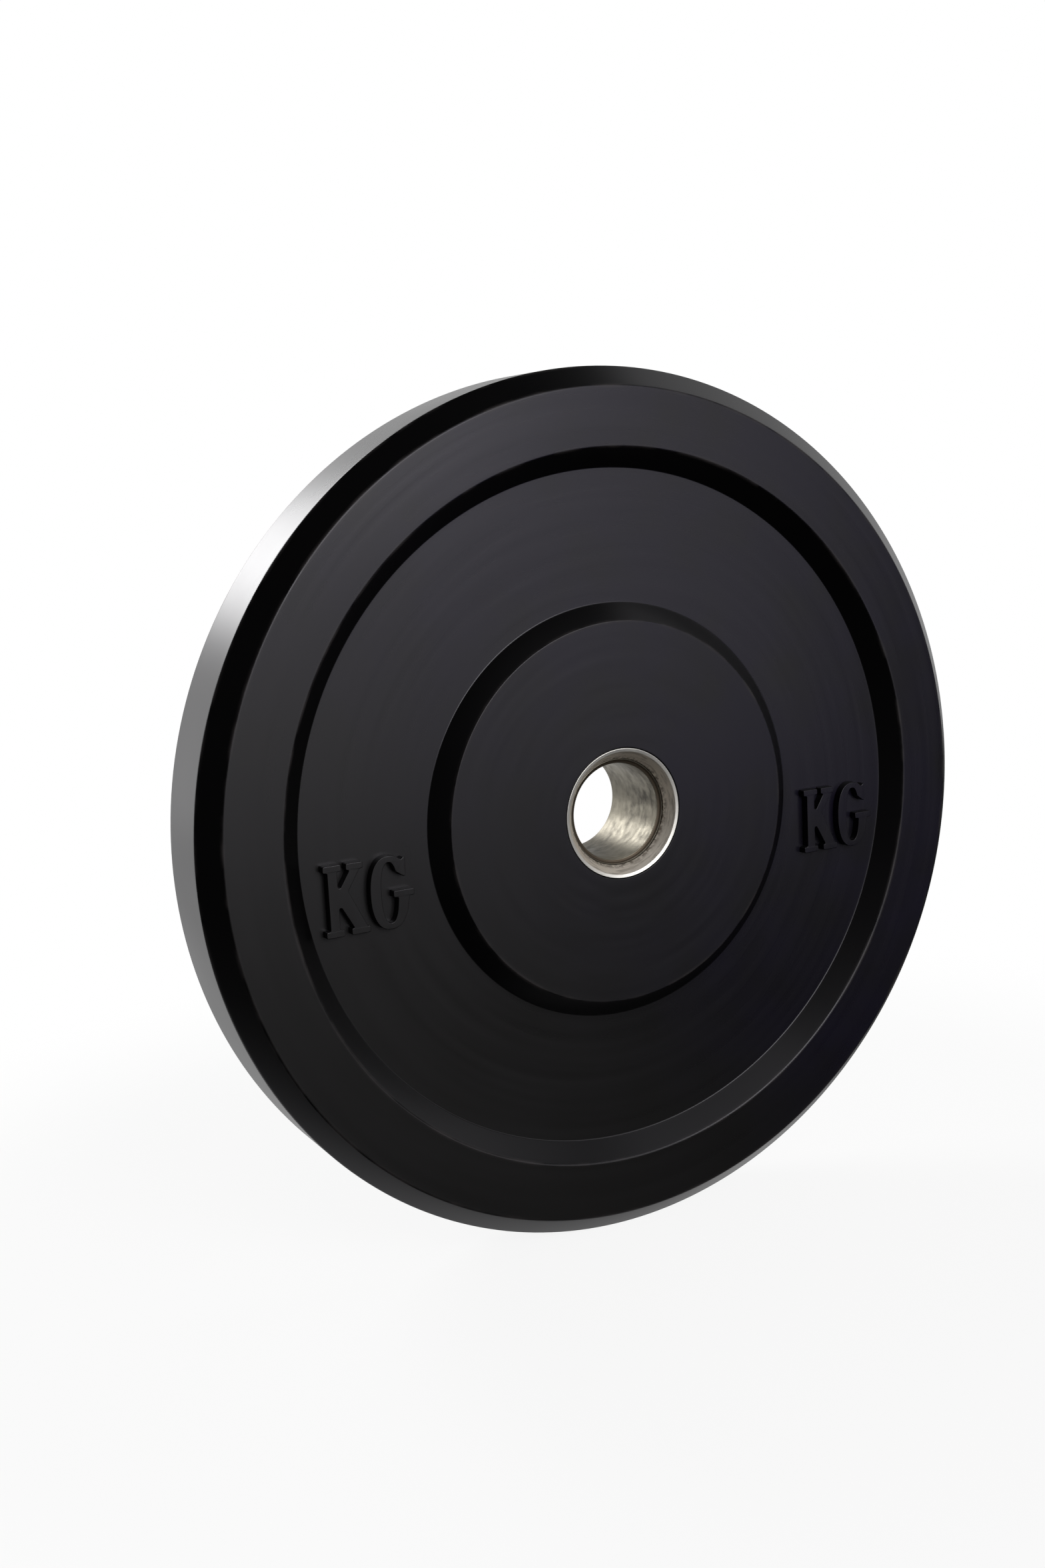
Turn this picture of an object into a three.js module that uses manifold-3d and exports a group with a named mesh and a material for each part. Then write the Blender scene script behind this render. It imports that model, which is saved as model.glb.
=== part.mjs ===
// Bumper plate: a rubber weight plate moulded round a steel bore insert.
// Millimetres. The bore runs along Y, the front face looks along -Y and +Z is up.
// The origin is the middle of the plate, half way through its thickness.

import * as THREE from 'three';
import { mergeVertices } from 'three/addons/utils/BufferGeometryUtils.js';
import Module from 'manifold-3d';

// Rubber disc
const plateDiameter = 450;
const treadWidth = 36;
const rimThickness = 55.8;
const rimFlatOuterDiameter = 429.6;
const rimFlatInnerDiameter = 370.4;
const webThickness = 36.6;
const webOuterDiameter = 350.6;
const hubThickness = 53.2;
const hubFootDiameter = 215.8;
const hubFaceDiameter = 197.6;
const edgeRadius = 1.8;
const footRadius = 1.6;

// Steel sleeve that the bar runs through
const boreDiameter = 50.6;
const sleeveWall = 2.3;
const sleeveRecess = 6.2;
const sleeveBevel = 1.1;
const sleeveDish = 0.5;
const sleeveRearBevel = 0.8;

// Steel collars round the ends of the sleeve
const collarDiameter = 67.6;
const collarDepth = 14;
const mouthDiameter = 64;
const mouthDepth = 5.8;
const lipBevel = 0.5;

// Steel plate buried in the rubber, and the beads that weld it to the sleeve
const anchorDiameter = 160;
const anchorThickness = 5;
const keyCircleDiameter = 112;
const keyHoleDiameter = 20;
const keyHoleCount = 8;
const weldLeg = 4;

// Raised unit marks, two on each face
const markRelief = 4.5;
const markBevel = 0.5;
const markHeight = 35.1;
const markOffset = 141.9;
const markDrop = 21.6;
const letterGap = 0.8;
const serifHeight = 3.3;
const kStemWidth = 5;
const kStemSerifReach = 2.2;
const kArmWidth = 5.2;
const kLegWidth = 6.8;
const kArmSerifWidth = 8.8;
const kLegSerifWidth = 9.8;
const kWidth = 22.8;
const kForkHeight = 21.6;
const kLegFork = 16.4;
const gBowlWidth = 20.4;
const gSideStroke = 5.8;
const gCapStroke = 3.2;
const gOvershoot = 0.6;
const gBeakHeight = 11.4;
const gBeakSetback = 1.4;
const gBowlPower = 0.86;
const gBarHeight = 16.4;
const gBarReach = 2.7;
const gBarWidth = 11;

// Clearance between neighbouring pieces, and how far one form runs into another to join it
const fitGap = 0.3;
const overrun = 1;

// Facets of the round forms
const plateSegments = 96;
const insertSegments = 48;
const keySegments = 24;
const bowlSegments = 18;
const edgeSteps = 2;
const footSteps = 1;

// Radii and half thicknesses that the pieces share
const rimHalf = rimThickness / 2;
const webHalf = webThickness / 2;
const hubHalf = hubThickness / 2;
const anchorHalf = anchorThickness / 2;
const boreRadius = boreDiameter / 2;
const sleeveRadius = boreRadius + sleeveWall;
const seatRadius = sleeveRadius + fitGap;
const collarRadius = collarDiameter / 2;

const wasm = await Module();
wasm.setup();

// Closed solid from a geometry, with its shared vertices merged
function toSolid(geometry) {
  const bare = geometry.clone();
  bare.deleteAttribute('normal');
  bare.deleteAttribute('uv');
  const merged = mergeVertices(bare);
  return new wasm.Manifold(new wasm.Mesh({
    numProp: 3,
    vertProperties: new Float32Array(merged.attributes.position.array),
    triVerts: new Uint32Array(merged.index.array),
  }));
}

// Geometry back from a solid
function toGeometry(solid) {
  const { vertProperties, triVerts } = solid.getMesh();
  const geometry = new THREE.BufferGeometry();
  geometry.setAttribute('position', new THREE.BufferAttribute(vertProperties, 3));
  geometry.setIndex(new THREE.BufferAttribute(triVerts, 1));
  geometry.computeVertexNormals();
  return geometry;
}

// Points that round a corner to a radius, kept within half of each side that meets there
function roundCorner(before, corner, after, radius, steps) {
  const toBefore = before.clone().sub(corner);
  const toAfter = after.clone().sub(corner);
  const halfAngle = toBefore.angleTo(toAfter) / 2;
  const room = Math.min(toBefore.length(), toAfter.length()) / 2;
  const setback = Math.min(radius / Math.tan(halfAngle), room);
  const start = corner.clone().addScaledVector(toBefore.normalize(), setback);
  const end = corner.clone().addScaledVector(toAfter.normalize(), setback);
  return new THREE.QuadraticBezierCurve(start, corner, end).getPoints(steps);
}

// Closed outline of [radius, place along the bore, corner radius, steps], its corners rounded
function closedOutline(corners) {
  const points = corners.map(([radius, along]) => new THREE.Vector2(radius, along));
  const outline = corners.flatMap(([, , radius = 0, steps = 0], index) => {
    const corner = points[index];
    if (radius === 0) {
      return [corner];
    }
    const before = points.at(index - 1);
    const after = points[(index + 1) % points.length];
    return roundCorner(before, corner, after, radius, steps);
  });
  return [...outline, outline[0]];
}

// Turned form whose flats, not corners, lie on the stated radii
function turned(corners, segments) {
  const flatsToCorners = 1 / Math.cos(Math.PI / segments);
  const outline = closedOutline(corners);
  const facets = outline.map((point) => new THREE.Vector2(point.x * flatsToCorners, point.y));
  return new THREE.LatheGeometry(facets, segments, Math.PI / segments);
}

// Round posts or cutters on the key circle, parallel to the bore
function keyPosts(radius, length) {
  const posts = [];
  for (let index = 0; index < keyHoleCount; index += 1) {
    const angle = (index / keyHoleCount) * 2 * Math.PI;
    const post = new THREE.CylinderGeometry(radius, radius, length, keySegments);
    const reach = keyCircleDiameter / 2;
    post.translate(reach * Math.cos(angle), 0, reach * Math.sin(angle));
    posts.push(toSolid(post));
  }
  return posts;
}

// Letter K, its foot on the baseline and its serifs starting at x = 0
function letterK() {
  const stemLeft = kStemSerifReach;
  const stemRight = stemLeft + kStemWidth;
  const serifRight = stemRight + kStemSerifReach;
  const armSerifLeft = kWidth - kArmSerifWidth - kStemSerifReach;
  const armSerifRight = kWidth - kStemSerifReach;
  const armMiddle = (armSerifLeft + armSerifRight) / 2;
  const legSerifLeft = kWidth - kLegSerifWidth;
  const legMiddle = (legSerifLeft + kWidth) / 2;
  const serifTop = markHeight - serifHeight;
  const waist = stemRight + kArmWidth;
  const shape = new THREE.Shape();
  shape.moveTo(0, 0);
  shape.lineTo(serifRight, 0);
  shape.lineTo(serifRight, serifHeight);
  shape.lineTo(stemRight, serifHeight);
  shape.lineTo(stemRight, kLegFork);
  shape.lineTo(legMiddle - kLegWidth / 2, serifHeight);
  shape.lineTo(legSerifLeft, serifHeight);
  shape.lineTo(legSerifLeft, 0);
  shape.lineTo(kWidth, 0);
  shape.lineTo(kWidth, serifHeight);
  shape.lineTo(legMiddle + kLegWidth / 2, serifHeight);
  shape.lineTo(waist, kForkHeight);
  shape.lineTo(armMiddle + kArmWidth / 2, serifTop);
  shape.lineTo(armSerifRight, serifTop);
  shape.lineTo(armSerifRight, markHeight);
  shape.lineTo(armSerifLeft, markHeight);
  shape.lineTo(armSerifLeft, serifTop);
  shape.lineTo(armMiddle - kArmWidth / 2, serifTop);
  shape.lineTo(stemRight, kForkHeight);
  shape.lineTo(stemRight, serifTop);
  shape.lineTo(serifRight, serifTop);
  shape.lineTo(serifRight, markHeight);
  shape.lineTo(0, markHeight);
  shape.lineTo(0, serifTop);
  shape.lineTo(stemLeft, serifTop);
  shape.lineTo(stemLeft, serifHeight);
  shape.lineTo(0, serifHeight);
  return shape;
}

// Point on the bowl of the G, an upright ellipse with fuller shoulders
function bowlPoint(middle, half, angle) {
  const across = Math.cos(angle);
  const up = Math.sin(angle);
  return new THREE.Vector2(
    middle.x + half.x * Math.sign(across) * Math.abs(across) ** gBowlPower,
    middle.y + half.y * Math.sign(up) * Math.abs(up) ** gBowlPower,
  );
}

// Points round the bowl from one angle to another, without the last
function bowlArc(middle, half, from, to) {
  const points = [];
  for (let step = 0; step < bowlSegments; step += 1) {
    const angle = THREE.MathUtils.lerp(from, to, step / bowlSegments);
    points.push(bowlPoint(middle, half, angle));
  }
  return points;
}

// Letter G: an open bowl with a beak at the top right and a bar at the middle right
function letterG() {
  const middle = new THREE.Vector2(gBowlWidth / 2, markHeight / 2);
  const outer = new THREE.Vector2(gBowlWidth / 2, markHeight / 2 + gOvershoot);
  const inner = new THREE.Vector2(outer.x - gSideStroke, outer.y - gCapStroke);
  const beakRight = gBowlWidth - gBeakSetback;
  const beakFoot = markHeight - gBeakHeight;
  const barTop = gBarHeight + serifHeight / 2;
  const barFoot = gBarHeight - serifHeight / 2;
  const barRight = gBowlWidth + gBarReach;
  const barLeft = barRight - gBarWidth;
  const outerStart = Math.acos((beakRight - gSideStroke / 2 - middle.x) / outer.x);
  const innerStart = Math.asin((beakFoot + serifHeight - middle.y) / inner.y);
  const fullTurn = 2 * Math.PI;
  return new THREE.Shape([
    ...bowlArc(middle, outer, outerStart, fullTurn),
    new THREE.Vector2(gBowlWidth, barFoot),
    new THREE.Vector2(barRight, barFoot),
    new THREE.Vector2(barRight, barTop),
    new THREE.Vector2(barLeft, barTop),
    new THREE.Vector2(barLeft, barFoot),
    new THREE.Vector2(gBowlWidth - gSideStroke, barFoot),
    ...bowlArc(middle, inner, innerStart, fullTurn).toReversed(),
    new THREE.Vector2(beakRight, beakFoot),
    new THREE.Vector2(beakRight, markHeight),
  ]);
}

// Raised letter, standing on its web and running into it
function raisedLetter(shape, left) {
  const letter = new THREE.ExtrudeGeometry(shape, {
    depth: markRelief + overrun - 2 * markBevel,
    bevelThickness: markBevel,
    bevelSize: markBevel,
    bevelOffset: -markBevel,
    bevelSegments: 1,
  });
  letter.translate(left, -markHeight / 2 - markDrop, markBevel - overrun);
  letter.rotateX(Math.PI / 2);
  letter.translate(0, -webHalf, 0);
  return letter;
}

// The two marks of one face, then the same on the other face, turned half way round
function unitMarks() {
  const markWidth = kWidth + letterGap + gBowlWidth + gBarReach;
  const letters = [];
  for (const side of [-1, 1]) {
    const left = side * markOffset - markWidth / 2;
    letters.push(raisedLetter(letterK(), left));
    letters.push(raisedLetter(letterG(), left + kWidth + letterGap));
  }
  const rear = letters.map((letter) => letter.clone().rotateZ(Math.PI));
  return [...letters, ...rear].map(toSolid);
}

// Rubber moulded round the insert: pockets for the collars, beads and anchor plate,
// and a rubber key through each hole of the anchor plate
function rubberBody() {
  const pocketHalf = anchorHalf + fitGap;
  const weldPocketLeg = weldLeg + fitGap * Math.SQRT2;
  const collarPocketRadius = collarRadius + fitGap;
  const collarPocketFloor = hubHalf - collarDepth - fitGap;
  const rearHalf = [
    [anchorDiameter / 2 + fitGap, pocketHalf],
    [seatRadius + weldPocketLeg, pocketHalf],
    [seatRadius, pocketHalf + weldPocketLeg],
    [seatRadius, collarPocketFloor],
    [collarPocketRadius, collarPocketFloor],
    [collarPocketRadius, hubHalf],
    [hubFaceDiameter / 2, hubHalf, edgeRadius, edgeSteps],
    [hubFootDiameter / 2, webHalf, footRadius, footSteps],
    [webOuterDiameter / 2, webHalf, footRadius, footSteps],
    [rimFlatInnerDiameter / 2, rimHalf, edgeRadius, edgeSteps],
    [rimFlatOuterDiameter / 2, rimHalf, edgeRadius, edgeSteps],
    [plateDiameter / 2, treadWidth / 2, edgeRadius, edgeSteps],
  ];
  const frontHalf = rearHalf.map(([radius, along, ...rounding]) => [radius, -along, ...rounding]);
  const disc = toSolid(turned([...frontHalf, ...rearHalf.toReversed()], plateSegments));
  const keys = keyPosts(keyHoleDiameter / 2 - fitGap, 2 * (pocketHalf + overrun));
  const whole = [...keys, ...unitMarks()].reduce((solid, piece) => solid.add(piece), disc);
  return toGeometry(whole);
}

// Tube for the bar, its front end set back and dished, its rear end flush with the hub
function boreSleeve() {
  const frontEnd = -hubHalf + sleeveRecess;
  const dish = frontEnd + sleeveBevel;
  return turned([
    [boreRadius, dish + sleeveDish],
    [sleeveRadius - sleeveBevel, dish],
    [sleeveRadius, frontEnd],
    [sleeveRadius, hubHalf],
    [boreRadius + sleeveRearBevel, hubHalf],
    [boreRadius, hubHalf - sleeveRearBevel],
  ], insertSegments);
}

// Ring with a narrow lip and a mouth that narrows to the sleeve
function frontCollar() {
  const face = -hubHalf;
  return turned([
    [mouthDiameter / 2, face + lipBevel],
    [mouthDiameter / 2 + lipBevel, face],
    [collarRadius - lipBevel, face],
    [collarRadius, face + lipBevel],
    [collarRadius, face + collarDepth],
    [seatRadius, face + collarDepth],
    [seatRadius, face + mouthDepth],
  ], insertSegments);
}

// Plain ring, flush with the rear of the hub
function rearCollar() {
  return turned([
    [collarRadius, hubHalf - collarDepth],
    [collarRadius, hubHalf - lipBevel],
    [collarRadius - lipBevel, hubHalf],
    [seatRadius + lipBevel, hubHalf],
    [seatRadius, hubHalf - lipBevel],
    [seatRadius, hubHalf - collarDepth],
  ], insertSegments);
}

// Flat ring with a circle of holes that the rubber flows through
function anchorPlate() {
  const ring = toSolid(turned([
    [seatRadius, -anchorHalf],
    [anchorDiameter / 2, -anchorHalf],
    [anchorDiameter / 2, anchorHalf],
    [seatRadius, anchorHalf],
  ], insertSegments));
  const holes = keyPosts(keyHoleDiameter / 2, anchorThickness + 2 * overrun);
  return toGeometry(holes.reduce((solid, hole) => solid.subtract(hole), ring));
}

// Bead in the corner between the sleeve and the anchor plate
function frontWeld() {
  const root = -anchorHalf - fitGap;
  return turned([
    [seatRadius, root - weldLeg],
    [seatRadius + weldLeg, root],
    [seatRadius, root],
  ], insertSegments);
}

// The same bead on the other side of the anchor plate
function rearWeld() {
  return frontWeld().rotateZ(Math.PI);
}

function mouldedRubber() {
  return new THREE.MeshStandardMaterial({ color: 0x1f1f23, roughness: 0.62, metalness: 0 });
}

function brushedSteel() {
  return new THREE.MeshStandardMaterial({ color: 0xb3aca0, roughness: 0.34, metalness: 1 });
}

function platedSteel() {
  return new THREE.MeshStandardMaterial({ color: 0xc4bdb0, roughness: 0.24, metalness: 1 });
}

function millSteel() {
  return new THREE.MeshStandardMaterial({ color: 0x5a5856, roughness: 0.6, metalness: 1 });
}

function addPiece(group, name, geometry, material) {
  const mesh = new THREE.Mesh(geometry, material);
  mesh.name = name;
  group.add(mesh);
}

const bumperPlate = new THREE.Group();
addPiece(bumperPlate, 'rubber_body', rubberBody(), mouldedRubber());
addPiece(bumperPlate, 'bore_sleeve', boreSleeve(), brushedSteel());
addPiece(bumperPlate, 'front_collar', frontCollar(), platedSteel());
addPiece(bumperPlate, 'rear_collar', rearCollar(), platedSteel());
addPiece(bumperPlate, 'anchor_plate', anchorPlate(), millSteel());
addPiece(bumperPlate, 'front_weld', frontWeld(), millSteel());
addPiece(bumperPlate, 'rear_weld', rearWeld(), millSteel());

export default bumperPlate;
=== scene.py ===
from math import acos, asin, copysign, cos, pi, radians, sin, sqrt, tan

import bmesh
import bpy
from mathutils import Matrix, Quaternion, Vector
from mathutils.geometry import delaunay_2d_cdt, tessellate_polygon


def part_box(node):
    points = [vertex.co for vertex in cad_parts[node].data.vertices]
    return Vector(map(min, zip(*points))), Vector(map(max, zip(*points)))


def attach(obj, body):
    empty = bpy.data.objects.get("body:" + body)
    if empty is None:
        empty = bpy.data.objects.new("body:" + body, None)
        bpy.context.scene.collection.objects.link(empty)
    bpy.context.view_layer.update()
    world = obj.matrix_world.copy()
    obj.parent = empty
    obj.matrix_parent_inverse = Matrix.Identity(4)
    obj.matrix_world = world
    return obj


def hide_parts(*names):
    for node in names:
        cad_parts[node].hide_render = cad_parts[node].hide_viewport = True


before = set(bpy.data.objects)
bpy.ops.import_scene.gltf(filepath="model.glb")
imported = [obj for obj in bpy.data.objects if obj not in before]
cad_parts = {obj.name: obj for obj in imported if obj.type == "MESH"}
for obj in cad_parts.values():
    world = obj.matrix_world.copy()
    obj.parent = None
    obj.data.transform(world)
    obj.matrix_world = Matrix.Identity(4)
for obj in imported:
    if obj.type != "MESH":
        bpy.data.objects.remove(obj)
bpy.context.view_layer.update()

# Bore sleeve.
# The steel tube that the bar slides through, drawn, cut to length and honed inside. Its front
# end is set back in the mouth and dished, where dirt has settled and shade is painted into its
# colour. Its rear end is flush.

mm = 0.001
ring_steps = 192
corner_steps = 5
sleeve_low, sleeve_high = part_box("bore_sleeve")
sleeve_radius = sleeve_high.x
sleeve_wall = 2.3 * mm
sleeve_bevel = 1.1 * mm
sleeve_dish = 0.5 * mm
sleeve_rear_bevel = 0.8 * mm
sleeve_edge = 0.2 * mm
bore_radius = sleeve_radius - sleeve_wall
dish_floor = sleeve_low.y + sleeve_bevel + sleeve_dish
clean_edge = 0.6 * mm
flats_weight = 100
noise_middle = 0.5
along_share = 2.0
honed_light = (0.245, 0.226, 0.18, 1)
honed_smeared = (0.105, 0.096, 0.08, 1)
dirt_and_painted_shade = (0.11, 0.088, 0.066, 1)
smear_contrast = (0.35, 0.65)
smear_shares = (0.2, 1.0)
honed_contrast = (0.3, 0.7)
honed_roughness = (0.32, 0.5)
dirt_roughness = 0.6
honing_depth = 0.04 * mm
honing_strength = 0.4


def rounded(corners):
    """Closed outline of (across, along, corner radius), with its corners rounded."""
    outline = []
    for index, (across, along, radius) in enumerate(corners):
        corner = Vector((across, along))
        if radius == 0:
            outline.append(corner)
            continue
        before = Vector(corners[index - 1][:2]) - corner
        after = Vector(corners[(index + 1) % len(corners)][:2]) - corner
        half = before.angle(after) / 2
        reach = min(radius / tan(half), before.length / 2, after.length / 2)
        start = corner + reach * before.normalized()
        end = corner + reach * after.normalized()
        middle = (before.normalized() + after.normalized()).normalized()
        centre = corner + reach / cos(half) * middle
        sweep = pi - 2 * half
        for step in range(corner_steps + 1):
            turn = sweep * step / corner_steps
            from_start = sin(sweep - turn) / sin(sweep)
            from_end = sin(turn) / sin(sweep)
            outline.append(centre + from_start * (start - centre) + from_end * (end - centre))
    return outline


def ring(mesh, radius, along, steps):
    """Vertices of one circle round the bore."""
    turns = [2 * pi * step / steps for step in range(steps)]
    return [mesh.verts.new((radius * cos(turn), along, radius * sin(turn))) for turn in turns]


def bridge(mesh, first, second):
    """Faces between two loops with as many vertices each."""
    for index in range(len(first)):
        after = (index + 1) % len(first)
        mesh.faces.new((first[index], first[after], second[after], second[index]))


def finish_piece(mesh, name, material, node):
    """The piece of a mesh, smooth on its curves and true on its flats, in place of a plain node."""
    bmesh.ops.recalc_face_normals(mesh, faces=mesh.faces)
    for face in mesh.faces:
        face.smooth = True
    data = bpy.data.meshes.new(name)
    mesh.to_mesh(data)
    mesh.free()
    data.materials.append(material)
    piece = bpy.data.objects.new(name, data)
    bpy.context.scene.collection.objects.link(piece)
    true_flats = piece.modifiers.new("true flats", "WEIGHTED_NORMAL")
    true_flats.weight = flats_weight
    true_flats.keep_sharp = True
    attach(piece, "root")
    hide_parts(node)


def turned_ring(name, corners, material, node):
    """A round piece about the bore, from the closed outline of its section."""
    mesh = bmesh.new()
    rings = [ring(mesh, point.x, point.y, ring_steps) for point in rounded(corners)]
    for first, second in zip(rings, rings[1:] + rings[:1]):
        bridge(mesh, first, second)
    finish_piece(mesh, name, material, node)


def add(tree, kind, inputs, **settings):
    """A node with its settings, and a value or a link for each of its inputs."""
    node = tree.nodes.new(kind)
    for name, value in settings.items():
        setattr(node, name, value)
    for name, value in inputs.items():
        if isinstance(value, bpy.types.NodeSocket):
            tree.links.new(value, node.inputs[name])
        else:
            node.inputs[name].default_value = value
    return node


def maths(tree, operation, first, second):
    """Two values added, multiplied, compared and so on."""
    return add(tree, "ShaderNodeMath", {0: first, 1: second}, operation=operation).outputs[0]


def vector_maths(tree, operation, inputs, output="Vector"):
    """The same for vectors, with a vector or a value as its output."""
    return add(tree, "ShaderNodeVectorMath", inputs, operation=operation).outputs[output]


def spread(tree, value, start, end, low, high):
    """A value between start and end, spread over the range from low to high."""
    limits = {"From Min": start, "From Max": end, "To Min": low, "To Max": high}
    return add(tree, "ShaderNodeMapRange", {"Value": value, **limits}).outputs[0]


def mix_colours(tree, share, first, second):
    """A share of the second colour in the first. The node's colours are inputs 6 and 7."""
    inputs = {0: share, 6: first, 7: second}
    return add(tree, "ShaderNodeMix", inputs, data_type="RGBA").outputs[2]


def mix_values(tree, share, first, second):
    """A share of the second value in the first. The node's values are inputs 2 and 3."""
    inputs = {0: share, 2: first, 3: second}
    return add(tree, "ShaderNodeMix", inputs, data_type="FLOAT").outputs[0]


def noise(tree, place, scale, detail):
    """Smooth noise, which lies mostly close to its middle."""
    inputs = {"Vector": place, "Scale": scale, "Detail": detail}
    return add(tree, "ShaderNodeTexNoise", inputs).outputs[0]


def bump(tree, height, depth, strength):
    """The normal of a surface with a fine relief of a real depth."""
    inputs = {"Height": height, "Distance": depth, "Strength": strength}
    return add(tree, "ShaderNodeBump", inputs).outputs[0]


def place_on_piece(tree):
    """Place in metres from a piece's origin: the middle of the plate, or of the floor."""
    return add(tree, "ShaderNodeTexCoord", {}).outputs["Object"]


def place_across_bore(tree):
    """Place seen along the bore, as a vector from the middle of the bore."""
    parts = add(tree, "ShaderNodeSeparateXYZ", {0: place_on_piece(tree)}).outputs
    return add(tree, "ShaderNodeCombineXYZ", {"X": parts["X"], "Y": parts["Z"]}).outputs[0]


def distance_from_bore(tree):
    """Distance from the axis of the bore."""
    return vector_maths(tree, "LENGTH", {0: place_across_bore(tree)}, "Value")


def place_along_bore(tree):
    """Place along the bore, from the middle of the plate to its rear."""
    return add(tree, "ShaderNodeSeparateXYZ", {0: place_on_piece(tree)}).outputs["Y"]


def new_group(name, inputs, output):
    """A node group with number inputs and one number output."""
    group = bpy.data.node_groups.new(name, "ShaderNodeTree")
    for label, value in inputs.items():
        socket = group.interface.new_socket(label, in_out="INPUT", socket_type="NodeSocketFloat")
        socket.default_value = value
    group.interface.new_socket(output, in_out="OUTPUT", socket_type="NodeSocketFloat")
    given = group.nodes.new("NodeGroupInput").outputs
    result = group.nodes.new("NodeGroupOutput").inputs[output]
    return group, given, result


def streaks_group():
    """Streaks round the bore, such as turning, honing or a turned mould leaves."""
    inputs = {"lines per metre": 900.0, "breaks round": 3.0, "detail": 3.0}
    group, given, result = new_group("turned streaks", inputs, "streaks")
    outward = vector_maths(group, "NORMALIZE", {0: place_across_bore(group)})
    around = vector_maths(group, "SCALE", {0: outward, "Scale": given["breaks round"]})
    along = maths(group, "MULTIPLY", place_along_bore(group), along_share)
    profile = maths(group, "ADD", distance_from_bore(group), along)
    lines = maths(group, "MULTIPLY", profile, given["lines per metre"])
    depth = add(group, "ShaderNodeCombineXYZ", {"Z": lines}).outputs[0]
    place = vector_maths(group, "ADD", {0: around, 1: depth})
    group.links.new(noise(group, place, 1.0, given["detail"]), result)
    return group


def patches_group():
    """Soft cloudy patches."""
    inputs = {"patches per metre": 30.0, "detail": 4.0, "softness": 0.3}
    group, given, result = new_group("cloudy patches", inputs, "patches")
    cloud = noise(group, place_on_piece(group), given["patches per metre"], given["detail"])
    half = maths(group, "MULTIPLY", given["softness"], 0.5)
    start = maths(group, "SUBTRACT", noise_middle, half)
    end = maths(group, "ADD", noise_middle, half)
    group.links.new(spread(group, cloud, start, end, 0.0, 1.0), result)
    return group


streaks_kind = streaks_group()
patches_kind = patches_group()


def effect(tree, kind, **values):
    """An effect's group placed in a material, with that material's own values."""
    node = add(tree, "ShaderNodeGroup", {}, node_tree=kind)
    for label, value in values.items():
        node.inputs[label.replace("_", " ")].default_value = value
    return node.outputs[0]


def new_material(name):
    """A material, with its node tree and its shader."""
    material = bpy.data.materials.new(name)
    material.use_nodes = True
    tree = material.node_tree
    return material, tree, tree.nodes["Principled BSDF"]


def honed_steel():
    """Steel with fine honing lines and darker smears, and with dirt and painted shade on its
    dished front end.
    """
    material, tree, shader = new_material("honed steel")
    lines = effect(tree, streaks_kind, lines_per_metre=1500.0, breaks_round=2.0)
    smears = effect(tree, streaks_kind, lines_per_metre=160.0, breaks_round=5.0)
    patches = effect(tree, patches_kind, patches_per_metre=55.0, detail=5.0, softness=0.4)
    smeared = maths(tree, "MULTIPLY", spread(tree, smears, *smear_contrast, *smear_shares), patches)
    bare = mix_colours(tree, smeared, honed_light, honed_smeared)
    dished = spread(tree, place_along_bore(tree), dish_floor, dish_floor - sleeve_edge, 0.0, 1.0)
    edge_start = sleeve_radius - clean_edge
    edge_end = sleeve_radius - sleeve_edge
    inside_edge = spread(tree, distance_from_bore(tree), edge_start, edge_end, 1.0, 0.0)
    # Painted shade: the dished front end, set back in the recess, is darkened in colour, partly as
    # settled dirt and partly as the recess's shade.
    dirt_and_shade = maths(tree, "MULTIPLY", dished, inside_edge)
    tree.links.new(mix_colours(tree, dirt_and_shade, bare, dirt_and_painted_shade), shader.inputs["Base Color"])
    bare_matt = spread(tree, smears, *honed_contrast, *honed_roughness)
    tree.links.new(mix_values(tree, dirt_and_shade, bare_matt, dirt_roughness), shader.inputs["Roughness"])
    tree.links.new(bump(tree, lines, honing_depth, honing_strength), shader.inputs["Normal"])
    shader.inputs["Metallic"].default_value = 1.0
    return material


turned_ring("honed_sleeve", [
    (bore_radius, dish_floor, sleeve_edge),
    (sleeve_radius - sleeve_bevel, sleeve_low.y + sleeve_bevel, sleeve_edge),
    (sleeve_radius, sleeve_low.y, sleeve_edge),
    (sleeve_radius, sleeve_high.y, sleeve_edge),
    (bore_radius + sleeve_rear_bevel, sleeve_high.y, sleeve_edge),
    (bore_radius, sleeve_high.y - sleeve_rear_bevel, sleeve_edge),
], honed_steel(), "bore_sleeve")


# Anchor plate and weld beads.
# A flat steel ring with a circle of holes, welded to the sleeve on both sides and buried in
# the rubber, which flows through the holes and can't slip round. Left as it was rolled.

anchor_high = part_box("anchor_plate")[1]
bead_low, bead_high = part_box("rear_weld")
rolled_light = (0.30, 0.29, 0.28, 1)
rolled_dark = (0.13, 0.12, 0.115, 1)
rolled_roughness = (0.45, 0.65)
scale_depth = 0.1 * mm
scale_strength = 0.3


def rolled_steel():
    """Dull steel with darker patches of mill scale."""
    material, tree, shader = new_material("rolled steel")
    scale = effect(tree, patches_kind, patches_per_metre=90.0, detail=6.0, softness=0.35)
    tree.links.new(mix_colours(tree, scale, rolled_light, rolled_dark), shader.inputs["Base Color"])
    tree.links.new(spread(tree, scale, 0.0, 1.0, *rolled_roughness), shader.inputs["Roughness"])
    tree.links.new(bump(tree, scale, scale_depth, scale_strength), shader.inputs["Normal"])
    shader.inputs["Metallic"].default_value = 1.0
    return material


as_rolled = rolled_steel()
for node in ("anchor_plate", "front_weld", "rear_weld"):
    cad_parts[node].material_slots[0].material = as_rolled


# Collars.
# Two turned stainless rings pressed over the ends of the sleeve. The front one has a narrow
# bright lip and a mouth that guides the bar in, which is stained and pitted from use.

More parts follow.
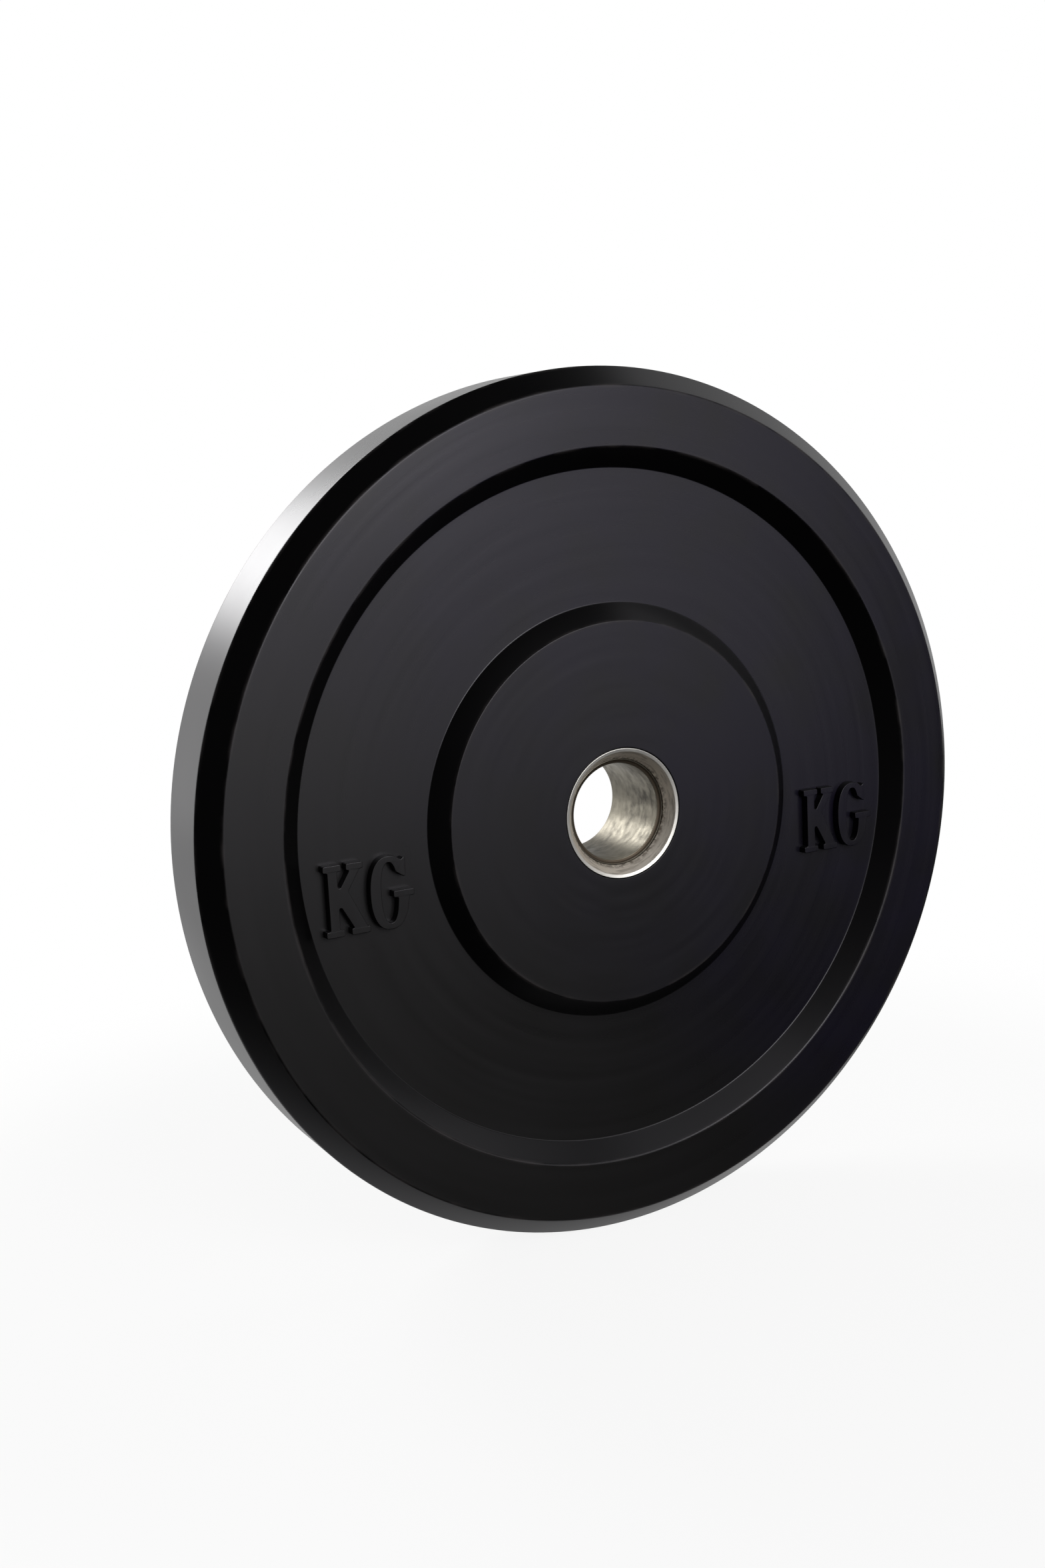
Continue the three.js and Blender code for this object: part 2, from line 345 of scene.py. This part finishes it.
collar_low, collar_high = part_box("front_collar")
rear_collar_low, rear_collar_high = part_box("rear_collar")
fit_gap = 0.3 * mm
collar_radius = collar_high.x
collar_seat = sleeve_radius + fit_gap
mouth_radius = 32 * mm
mouth_depth = 5.8 * mm
lip_bevel = 0.5 * mm
lip_edge = 0.3 * mm
lip_drop = 0.45 * mm
dirt_start = 29.6 * mm
dirt_end = 28.4 * mm
lip_bright = (0.92, 0.90, 0.86, 1)
lip_worn = (0.76, 0.735, 0.69, 1)
mouth_bare = (0.90, 0.835, 0.745, 1)
mouth_stained = (0.19, 0.155, 0.12, 1)
streak_contrast = (0.5, 0.64)
streak_stain = 0.5
caught_stain = 0.9
mouth_roughness = (0.5, 0.66)
lip_roughness = (0.38, 0.5)
turning_depth = 0.06 * mm
turning_strength = 0.45
turning_anisotropy = 0.3
quarter_turn = 0.25


def turned_steel():
    """Stainless steel with a worn bright lip, and stained streaks and pits in its mouth."""
    material, tree, shader = new_material("turned steel")
    lines = effect(tree, streaks_kind, lines_per_metre=1800.0, breaks_round=1.5)
    smears = effect(tree, streaks_kind, lines_per_metre=700.0, breaks_round=3.5, detail=4.0)
    pits = effect(tree, patches_kind, patches_per_metre=520.0, detail=6.0, softness=0.22)
    worn = effect(tree, patches_kind, patches_per_metre=70.0, detail=4.0, softness=0.5)
    radius = distance_from_bore(tree)
    streaked = spread(tree, smears, *streak_contrast, 0.0, streak_stain)
    caught = spread(tree, radius, dirt_start, dirt_end, 0.0, caught_stain)
    stained = maths(tree, "MAXIMUM", streaked, maths(tree, "MULTIPLY", caught, pits))
    lip = spread(tree, radius, mouth_radius - lip_bevel, mouth_radius + lip_bevel, 0.0, 1.0)
    mouth_colour = mix_colours(tree, stained, mouth_bare, mouth_stained)
    lip_colour = mix_colours(tree, worn, lip_bright, lip_worn)
    tree.links.new(mix_colours(tree, lip, mouth_colour, lip_colour), shader.inputs["Base Color"])
    mouth_matt = spread(tree, stained, 0.0, 1.0, *mouth_roughness)
    lip_matt = spread(tree, worn, 0.0, 1.0, *lip_roughness)
    tree.links.new(mix_values(tree, lip, mouth_matt, lip_matt), shader.inputs["Roughness"])
    relief = maths(tree, "SUBTRACT", lines, stained)
    tree.links.new(bump(tree, relief, turning_depth, turning_strength), shader.inputs["Normal"])
    round_bore = add(tree, "ShaderNodeTangent", {}, direction_type="RADIAL", axis="Y").outputs[0]
    tree.links.new(round_bore, shader.inputs["Tangent"])
    shader.inputs["Anisotropic"].default_value = turning_anisotropy
    shader.inputs["Anisotropic Rotation"].default_value = quarter_turn
    shader.inputs["Metallic"].default_value = 1.0
    return material


collar_steel = turned_steel()
turned_ring("turned_front_collar", [
    (mouth_radius, collar_low.y + lip_drop, lip_bevel),
    (collar_radius, collar_low.y, lip_edge),
    (collar_radius, collar_high.y, 0),
    (collar_seat, collar_high.y, 0),
    (collar_seat, collar_low.y + mouth_depth, lip_edge),
], collar_steel, "front_collar")
turned_ring("turned_rear_collar", [
    (collar_radius, rear_collar_low.y, 0),
    (collar_radius, rear_collar_high.y - lip_bevel, lip_edge),
    (collar_radius - lip_bevel, rear_collar_high.y, lip_edge),
    (collar_seat + lip_bevel, rear_collar_high.y, lip_edge),
    (collar_seat, rear_collar_high.y - lip_bevel, lip_edge),
    (collar_seat, rear_collar_low.y, 0),
], collar_steel, "rear_collar")


# Unit marks.
# The letters K and G, raised beside the hub on both faces and moulded in one with the disc.
# Their walls have a little draft and meet the web sharply, and their crowns are rounded.

web_half = 18.3 * mm
mark_relief = 4.5 * mm
mark_height = 35.1 * mm
mark_offset = 141.9 * mm
mark_drop = 21.6 * mm
mark_corner = 0.85 * mm
mark_draft = 0.1 * mm
crown_round = 0.3 * mm
crown_steps = 4
letter_gap = 0.8 * mm
serif_height = 3.3 * mm
k_width = 22.8 * mm
k_stem = 5 * mm
k_serif_reach = 2.2 * mm
k_arm = 5.2 * mm
k_leg = 6.8 * mm
k_arm_serif = 8.8 * mm
k_leg_serif = 9.8 * mm
k_fork = 21.6 * mm
k_leg_fork = 16.4 * mm
g_width = 20.4 * mm
g_side = 5.8 * mm
g_cap = 3.2 * mm
g_overshoot = 0.6 * mm
g_beak = 11.4 * mm
g_beak_setback = 1.4 * mm
g_bar_height = 16.4 * mm
g_bar_reach = 2.7 * mm
g_bar = 11 * mm
g_bar_foot = g_bar_height - serif_height / 2
bowl_power = 0.86
bowl_steps = 40


def letter_k():
    """Corners of the K, with slab serifs."""
    stem_right = k_serif_reach + k_stem
    serif_right = stem_right + k_serif_reach
    arm_right = k_width - k_serif_reach
    arm_left = arm_right - k_arm_serif
    arm_middle = (arm_left + arm_right) / 2
    leg_left = k_width - k_leg_serif
    leg_middle = (leg_left + k_width) / 2
    cap_foot = mark_height - serif_height
    corners = [
        (0, 0), (serif_right, 0), (serif_right, serif_height), (stem_right, serif_height),
        (stem_right, k_leg_fork), (leg_middle - k_leg / 2, serif_height),
        (leg_left, serif_height), (leg_left, 0), (k_width, 0), (k_width, serif_height),
        (leg_middle + k_leg / 2, serif_height), (stem_right + k_arm, k_fork),
        (arm_middle + k_arm / 2, cap_foot), (arm_right, cap_foot), (arm_right, mark_height),
        (arm_left, mark_height), (arm_left, cap_foot), (arm_middle - k_arm / 2, cap_foot),
        (stem_right, k_fork), (stem_right, cap_foot), (serif_right, cap_foot),
        (serif_right, mark_height), (0, mark_height), (0, cap_foot),
        (k_serif_reach, cap_foot), (k_serif_reach, serif_height), (0, serif_height),
    ]
    return [(across, up, mark_corner) for across, up in corners]


def bowl(half_width, half_height, start):
    """Points round the bowl of the G, from an angle round to just below its bar."""
    below_bar = mark_height / 2 - g_bar_foot + 2 * mark_corner
    end = 2 * pi - asin((below_bar / half_height) ** (1 / bowl_power))
    points = []
    for step in range(bowl_steps + 1):
        turn = start + (end - start) * step / bowl_steps
        across = half_width * copysign(abs(cos(turn)) ** bowl_power, cos(turn))
        up = half_height * copysign(abs(sin(turn)) ** bowl_power, sin(turn))
        corner = mark_corner if step == 0 else 0
        points.append((g_width / 2 + across, mark_height / 2 + up, corner))
    return points


def letter_g():
    """Corners of the G: a bowl that is open at the right, with a beak and a slab bar."""
    outer_half = (g_width / 2, mark_height / 2 + g_overshoot)
    inner_half = (outer_half[0] - g_side, outer_half[1] - g_cap)
    beak_right = g_width - g_beak_setback
    beak_foot = mark_height - g_beak
    bar_top = g_bar_height + serif_height / 2
    bar_right = g_width + g_bar_reach
    bar_left = bar_right - g_bar
    outer_start = acos((beak_right - g_side / 2 - outer_half[0]) / outer_half[0])
    inner_start = asin((beak_foot + serif_height - mark_height / 2) / inner_half[1])
    corners = [
        (g_width, g_bar_foot), (bar_right, g_bar_foot), (bar_right, bar_top),
        (bar_left, bar_top), (bar_left, g_bar_foot), (g_width - g_side, g_bar_foot),
    ]
    return [
        *bowl(*outer_half, outer_start),
        *[(across, up, mark_corner) for across, up in corners],
        *reversed(bowl(*inner_half, inner_start)),
        (beak_right, beak_foot, mark_corner),
        (beak_right, mark_height, mark_corner),
    ]


def mark_outlines():
    """Outlines of the letters of one face, as someone who looks at it sees them."""
    pair_width = k_width + letter_gap + g_width + g_bar_reach
    foot = -mark_drop - mark_height / 2
    outlines = []
    for side in (-1, 1):
        left = side * mark_offset - pair_width / 2
        for letter, start in ((letter_k(), left), (letter_g(), left + k_width + letter_gap)):
            outlines.append([point + Vector((start, foot)) for point in rounded(letter)])
    return outlines


def widened(outline, distance):
    """An outline moved outwards by a distance."""
    moved = []
    for index, point in enumerate(outline):
        before = (point - outline[index - 1]).normalized()
        after = (outline[(index + 1) % len(outline)] - point).normalized()
        first = Vector((before.y, -before.x))
        second = Vector((after.y, -after.x))
        moved.append(point + distance * (first + second) / (1 + first.dot(second)))
    return moved


def raise_letter(mesh, outline, side):
    """Walls and crown of a letter on one side of the disc, given back with its foot."""
    levels = [(mark_draft, 0)]
    for step in range(crown_steps + 1):
        turn = pi / 2 * step / crown_steps
        levels.append((crown_round * (cos(turn) - 1), mark_relief + crown_round * (sin(turn) - 1)))
    loops = []
    for distance, height in levels:
        along = side * (web_half + height)
        points = widened(outline, distance)
        loops.append([mesh.verts.new((-side * point.x, along, point.y)) for point in points])
    for first, second in zip(loops, loops[1:]):
        bridge(mesh, first, second)
    foot = loops[0]
    for index, vertex in enumerate(foot):
        mesh.edges.get((foot[index - 1], vertex)).smooth = False
    crown = loops[-1]
    for corners in tessellate_polygon([[vertex.co for vertex in crown]]):
        mesh.faces.new([crown[index] for index in corners])
    return foot


# Rubber disc.
# Black rubber pressed hot round the welded insert in a turned mould, which leaves faint rings.
# The rim stands proud of the web on both faces, and so does the hub, so that plates stack.

body_low, body_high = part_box("rubber_body")
disc_steps = 256
key_steps = 48
plate_radius = body_high.x
rim_half = body_high.y
tread_half = 18 * mm
rim_outer = 214.8 * mm
rim_inner = 185.2 * mm
web_outer = 175.3 * mm
hub_foot = 107.9 * mm
hub_face = 98.8 * mm
hub_half = rear_collar_high.y
edge_round = 1.8 * mm
hub_round = 0.8 * mm
foot_round = 1.1 * mm
insert_round = 0.4 * mm
edge_margin = 2 * mm
long_straight = 3 * edge_margin
same_place = 0.001 * mm
key_circle = 56 * mm
key_radius = 9.7 * mm
key_count = 8
handled_edges = [
    (hub_face, hub_half), (rim_inner, rim_half), (rim_outer, rim_half), (plate_radius, tread_half),
]
painted_wall_shade = (0.0011, 0.0010, 0.0011, 1)
rubber_satin = (0.0058, 0.0056, 0.0053, 1)
rubber_bloom = (0.0068, 0.0057, 0.0128, 1)
rubber_lower_left_grey = (0.0152, 0.0147, 0.0144, 1)
rubber_rubbed = (0.024, 0.021, 0.021, 1)
rubbed_width = 1.6 * mm
rubbed_breaks_per_metre = 60.0
rubbed_detail = 3.0
rubbed_contrast = (0.4, 0.65)
rubbed_roughness = 0.42
rubber_sheen = 0.375
rubber_sheen_tint = (0.96, 0.935, 1.0, 1)
bloom_way = (0.7, 0.0, 0.7)
bloom_start = -110 * mm
bloom_end = 60 * mm
least_bloom = 0.1
cloud_shares = (0.25, 1.5)
lower_left_start = -20 * mm
lower_left_end = -170 * mm
most_lower_left_grey = 0.8
lower_left_matt = 0.04
hub_matt = 0.055
flat_facing = (0.9, 0.99)
sheen_cloud_share = 0.25
sheen_contrast = (0.25, 0.75)
satin_roughness = (0.25, 0.3)
grain_share = 0.01
ring_depth = 0.07 * mm


def disc_outline():
    """Section of the disc, with the pockets for the insert, the beads and the anchor plate."""
    pocket_half = anchor_high.y + fit_gap
    bead_pocket = bead_high.y - bead_low.y + fit_gap * sqrt(2)
    collar_floor = rear_collar_low.y - fit_gap
    rear = [
        (anchor_high.x + fit_gap, pocket_half, 0),
        (collar_seat + bead_pocket, pocket_half, 0),
        (collar_seat, pocket_half + bead_pocket, 0),
        (collar_seat, collar_floor, 0),
        (collar_radius + fit_gap, collar_floor, 0),
        (collar_radius + fit_gap, hub_half, insert_round),
        (hub_face, hub_half, hub_round),
        (hub_foot, web_half, foot_round),
        (web_outer, web_half, foot_round),
        (rim_inner, rim_half, edge_round),
        (rim_outer, rim_half, edge_round),
        (plate_radius, tread_half, edge_round),
    ]
    front = [(radius, -along, corner) for radius, along, corner in rear]
    return rounded(front + rear[::-1])


def with_margins(outline):
    """The outline with a point near both ends of each long straight."""
    points = []
    for index, point in enumerate(outline):
        points.append(point)
        span = outline[(index + 1) % len(outline)] - point
        if span.length > long_straight:
            margin = edge_margin * span.normalized()
            points += [point + margin, point + span - margin]
    return points


def inside(outline, point):
    """Whether a closed outline goes round a point."""
    crossings = 0
    for index, end in enumerate(outline):
        start = outline[index - 1]
        if (start.y > point.y) != (end.y > point.y):
            share = (point.y - start.y) / (end.y - start.y)
            crossings += point.x < start.x + share * (end.x - start.x)
    return crossings % 2 == 1


def flat_between(mesh, inner, outer, holes):
    """The flat between two rings, open inside the loop of each hole."""
    loops = [inner, *holes, outer]
    vertices = [vertex for loop in loops for vertex in loop]
    places = [Vector((vertex.co.x, vertex.co.z)) for vertex in vertices]
    owners = []
    edges = []
    outlines = []
    for number, loop in enumerate(loops):
        start = len(owners)
        owners += [number] * len(loop)
        edges += [(start + index, start + (index + 1) % len(loop)) for index in range(len(loop))]
        outlines.append(places[start:start + len(loop)])
    inside_edges = 1
    triangles, sources = delaunay_2d_cdt(places, edges, [], inside_edges, same_place)[2:4]
    for triangle in triangles:
        corners = [sources[index][0] for index in triangle]
        touched = {owners[corner] for corner in corners}
        middle = sum((places[corner] for corner in corners), Vector((0, 0))) / len(corners)
        owner = touched.pop()
        # A triangle that touches only one of the inner loops may lie in that loop's opening.
        one_inner_loop = not touched and vertices[corners[0]] not in outer
        if one_inner_loop and inside(outlines[owner], middle):
            continue
        mesh.faces.new([vertices[corner] for corner in corners])


def key_rings(mesh, along):
    """Circles where the rubber keys through the anchor plate meet one wall of its pocket."""
    rings = []
    for key in range(key_count):
        centre = Vector((key_circle * cos(2 * pi * key / key_count), along,
                         key_circle * sin(2 * pi * key / key_count)))
        rings.append(ring(mesh, key_radius, 0, key_steps))
        for vertex in rings[-1]:
            vertex.co += centre
    return rings


def moulded_disc():
    """The disc as one closed skin, with its marks and with its keys through the anchor plate."""
    mesh = bmesh.new()
    outline = with_margins(disc_outline())
    rings = [ring(mesh, point.x, point.y, disc_steps) for point in outline]
    keys = []
    for index, point in enumerate(outline):
        after = (index + 1) % len(outline)
        inner, outer = sorted((index, after), key=lambda number: outline[number].x)
        level = abs(point.y - outline[after].y) < same_place
        wide_flat = level and (outline[after] - point).length > mark_height
        side = copysign(1, point.y)
        # The webs carry the letters, and the walls of the anchor plate's pocket carry the keys.
        if wide_flat and abs(abs(point.y) - web_half) < same_place:
            letters = [raise_letter(mesh, letter, side) for letter in mark_outlines()]
            flat_between(mesh, rings[inner], rings[outer], letters)
        elif wide_flat and abs(point.y) < bead_high.y:
            keys.append(key_rings(mesh, point.y))
            flat_between(mesh, rings[inner], rings[outer], keys[-1])
        else:
            bridge(mesh, rings[index], rings[after])
    for front, rear in zip(*keys):
        bridge(mesh, front, rear)
    return mesh


def rubbed_edges(tree):
    """The rounded edges of the rims and hubs, which handling has rubbed here and there."""
    radius = distance_from_bore(tree)
    height = maths(tree, "ABSOLUTE", place_along_bore(tree), 0.0)
    nearest = rubbed_width
    for edge_radius, edge_height in handled_edges:
        across = maths(tree, "SUBTRACT", radius, edge_radius)
        above = maths(tree, "SUBTRACT", height, edge_height)
        away = add(tree, "ShaderNodeCombineXYZ", {"X": across, "Y": above}).outputs[0]
        distance = vector_maths(tree, "LENGTH", {0: away}, "Value")
        nearest = maths(tree, "MINIMUM", distance, nearest)
    uneven = noise(tree, place_on_piece(tree), rubbed_breaks_per_metre, rubbed_detail)
    breaks = spread(tree, uneven, *rubbed_contrast, 0.0, 1.0)
    return maths(tree, "MULTIPLY", spread(tree, nearest, rubbed_width, 0.0, 0.0, 1.0), breaks)


def moulded_rubber():
    """Satin rubber, with painted shade that makes its walls nearly black. Its flats have a cloudy
    violet bloom, stronger towards the upper right, turn a lighter grey and more matt towards the
    lower left, and the hub, where plates rub together, is more matt."""
    material, tree, shader = new_material("moulded rubber")
    lines = effect(tree, streaks_kind, lines_per_metre=200.0, breaks_round=1.6, detail=0.3)
    clouds = effect(tree, patches_kind, patches_per_metre=22.0, detail=2.5, softness=0.45)
    grain = effect(tree, patches_kind, patches_per_metre=1600.0, detail=2.0, softness=0.8)
    rubbed = rubbed_edges(tree)
    upward = vector_maths(tree, "DOT_PRODUCT", {0: place_on_piece(tree), 1: bloom_way}, "Value")
    # The violet bloom is stronger towards the upper right.
    towards_upper_right = spread(tree, upward, bloom_start, bloom_end, least_bloom, 1.0)
    cloudy = spread(tree, clouds, 0.0, 1.0, *cloud_shares)
    bloomed = maths(tree, "MULTIPLY", towards_upper_right, cloudy)
    bloom = mix_colours(tree, bloomed, rubber_satin, rubber_bloom)
    # Towards the lower left the flats turn a lighter grey and more matt.
    towards_lower_left = spread(tree, upward, lower_left_start, lower_left_end, 0.0, most_lower_left_grey)
    lower_left_grey = mix_colours(tree, towards_lower_left, bloom, rubber_lower_left_grey)
    facing = add(tree, "ShaderNodeTexCoord", {}).outputs["Normal"]
    facing_along = add(tree, "ShaderNodeSeparateXYZ", {0: facing}).outputs["Y"]
    flats = spread(tree, maths(tree, "ABSOLUTE", facing_along, 0.0), *flat_facing, 0.0, 1.0)
    # Painted shade: the walls, chamfers and tread, which don't face along the bore, get a nearly
    # black colour in place of the flats' colour.
    shaded_walls = mix_colours(tree, flats, painted_wall_shade, lower_left_grey)
    tree.links.new(mix_colours(tree, rubbed, shaded_walls, rubber_rubbed), shader.inputs["Base Color"])
    rings = mix_values(tree, flats, noise_middle, lines)
    sheen = mix_values(tree, sheen_cloud_share, rings, clouds)
    satin = spread(tree, sheen, *sheen_contrast, *satin_roughness)
    hub = spread(tree, distance_from_bore(tree), hub_foot, hub_face, 0.0, hub_matt)
    matt = maths(tree, "MAXIMUM", hub, maths(tree, "MULTIPLY", towards_lower_left, lower_left_matt))
    matted = maths(tree, "ADD", satin, matt)
    tree.links.new(mix_values(tree, rubbed, matted, rubbed_roughness), shader.inputs["Roughness"])
    relief = maths(tree, "ADD", rings, maths(tree, "MULTIPLY", grain, grain_share))
    tree.links.new(bump(tree, relief, ring_depth, 1.0), shader.inputs["Normal"])
    shader.inputs["Specular IOR Level"].default_value = rubber_sheen
    shader.inputs["Specular Tint"].default_value = rubber_sheen_tint
    return material


finish_piece(moulded_disc(), "moulded_disc", moulded_rubber(), "rubber_body")


# Studio.
# A pale floor under the tread and a white backdrop. A key softbox and a broad panel light the
# plate from the front, a softbox and a weaker panel from behind, and a last panel from the right.

floor_radius = 600 * mm
floor_fade_start = 280 * mm
floor_drop = 0.1 * mm
floor_roughness = 0.9
floor_grey = (0.12, 0.12, 0.12, 1)
floor_mirrored = (0.02, 0.02, 0.02, 1)
floor_lift = 0.88
floor_front = -42 * mm
floor_behind = -16 * mm
floor_middle = 100 * mm
floor_right = 300 * mm
floor_rear_shares = (0.0, 0.85)
floor_side_shares = (1.0, 0.15)
plain_white = (1, 1, 1, 1)
backdrop_white = 1.0
backdrop_behind = (0.7, 0.9)
backdrop_top = (0.35, 0.65)
dark_studio = 0.03
camera_place = Vector((-446.8, -751.0, 165.1)) * mm
camera_aim = Vector((-46.2, -4.2, 18.4)) * mm
camera_roll = radians(-2.9)
camera_lens = 38.68
camera_film = 36


def seen_background(tree, share):
    """How far a ray shows the white background: a camera ray fully, a mirrored one by a share."""
    rays = add(tree, "ShaderNodeLightPath", {}).outputs
    mirrored = maths(tree, "ADD", rays["Is Glossy Ray"], rays["Is Transmission Ray"])
    shown = maths(tree, "MULTIPLY", mirrored, share)
    return maths(tree, "MINIMUM", maths(tree, "ADD", rays["Is Camera Ray"], shown), 1.0)


def pale_floor():
    """A floor that the camera sees nearly white. The plate mirrors its rear, less at the right."""
    material, tree, shader = new_material("pale floor")
    camera_ray = add(tree, "ShaderNodeLightPath", {}).outputs["Is Camera Ray"]
    grey = mix_colours(tree, camera_ray, floor_mirrored, floor_grey)
    tree.links.new(grey, shader.inputs["Base Color"])
    shader.inputs["Roughness"].default_value = floor_roughness
    shader.inputs["Specular IOR Level"].default_value = 0.0
    shader.inputs["Emission Color"].default_value = plain_white
    parts = add(tree, "ShaderNodeSeparateXYZ", {0: place_on_piece(tree)}).outputs
    behind = spread(tree, parts["Y"], floor_front, floor_behind, *floor_rear_shares)
    leftward = spread(tree, parts["X"], floor_middle, floor_right, *floor_side_shares)
    share = maths(tree, "MULTIPLY", behind, leftward)
    lift = maths(tree, "MULTIPLY", seen_background(tree, share), floor_lift)
    tree.links.new(lift, shader.inputs["Emission Strength"])
    distance = vector_maths(tree, "LENGTH", {0: place_on_piece(tree)}, "Value")
    limits = {"From Min": floor_fade_start, "From Max": floor_radius, "To Min": 1.0, "To Max": 0.0}
    fade = add(tree, "ShaderNodeMapRange", {"Value": distance, **limits},
               interpolation_type="SMOOTHERSTEP").outputs[0]
    tree.links.new(fade, shader.inputs["Alpha"])
    return material


def lay_floor():
    """A round floor just under the tread, faded out at its edge."""
    mesh = bmesh.new()
    bmesh.ops.create_circle(mesh, cap_ends=True, radius=floor_radius, segments=ring_steps)
    data = bpy.data.meshes.new("floor")
    mesh.to_mesh(data)
    mesh.free()
    data.materials.append(pale_floor())
    floor = bpy.data.objects.new("floor", data)
    floor.location.z = body_low.z - floor_drop
    bpy.context.scene.collection.objects.link(floor)


def hang_backdrop():
    """A world that the camera sees white, and that the plate mirrors only from behind it."""
    world = bpy.data.worlds.new("backdrop")
    world.use_nodes = True
    tree = world.node_tree
    direction = add(tree, "ShaderNodeTexCoord", {}).outputs["Generated"]
    parts = add(tree, "ShaderNodeSeparateXYZ", {0: direction}).outputs
    behind = spread(tree, parts["Y"], *backdrop_behind, 0.0, 1.0)
    below_top = spread(tree, parts["Z"], *backdrop_top, 1.0, 0.0)
    seen = seen_background(tree, maths(tree, "MULTIPLY", behind, below_top))
    background = tree.nodes["Background"].inputs
    strength = spread(tree, seen, 0.0, 1.0, dark_studio, backdrop_white)
    tree.links.new(strength, background["Strength"])
    background["Color"].default_value = plain_white
    bpy.context.scene.world = world


def hang_softbox(name, azimuth, elevation, distance, width, height, brightness):
    """A softbox that faces the bore, placed in degrees and metres from the front of the plate."""
    level = distance * cos(radians(elevation))
    place = Vector((level * sin(radians(azimuth)), -level * cos(radians(azimuth)),
                    distance * sin(radians(elevation))))
    light = bpy.data.lights.new(name, "AREA")
    light.shape = "RECTANGLE"
    light.size = width
    light.size_y = height
    light.energy = brightness * pi * width * height
    softbox = bpy.data.objects.new(name, light)
    softbox.location = place
    softbox.rotation_mode = "QUATERNION"
    softbox.rotation_quaternion = (-place).to_track_quat("-Z", "Y")
    softbox.visible_camera = False
    bpy.context.scene.collection.objects.link(softbox)


def place_camera():
    """The camera in front of the plate, a little above it and well to its left."""
    lens = bpy.data.cameras.new("camera")
    lens.lens = camera_lens
    lens.sensor_width = camera_film
    camera = bpy.data.objects.new("camera", lens)
    camera.location = camera_place
    camera.rotation_mode = "QUATERNION"
    level = (camera_aim - camera_place).to_track_quat("-Z", "Y")
    camera.rotation_quaternion = level @ Quaternion((0, 0, 1), camera_roll)
    bpy.context.scene.collection.objects.link(camera)
    bpy.context.scene.camera = camera


lay_floor()
hang_backdrop()
hang_softbox("key softbox", azimuth=5, elevation=20, distance=1.6,
             width=1.04, height=0.62, brightness=5.0)
hang_softbox("front panel", azimuth=18, elevation=22, distance=2.2,
             width=2.1, height=2.9, brightness=1.0)
hang_softbox("back softbox", azimuth=199, elevation=34, distance=1.8,
             width=0.85, height=1.1, brightness=5.5)
hang_softbox("back panel", azimuth=226, elevation=8, distance=1.8,
             width=1.1, height=0.9, brightness=1.3)
hang_softbox("side panel", azimuth=100, elevation=26, distance=1.6,
             width=1.56, height=2.08, brightness=0.75)
place_camera()
bpy.context.scene.view_settings.view_transform = "Standard"
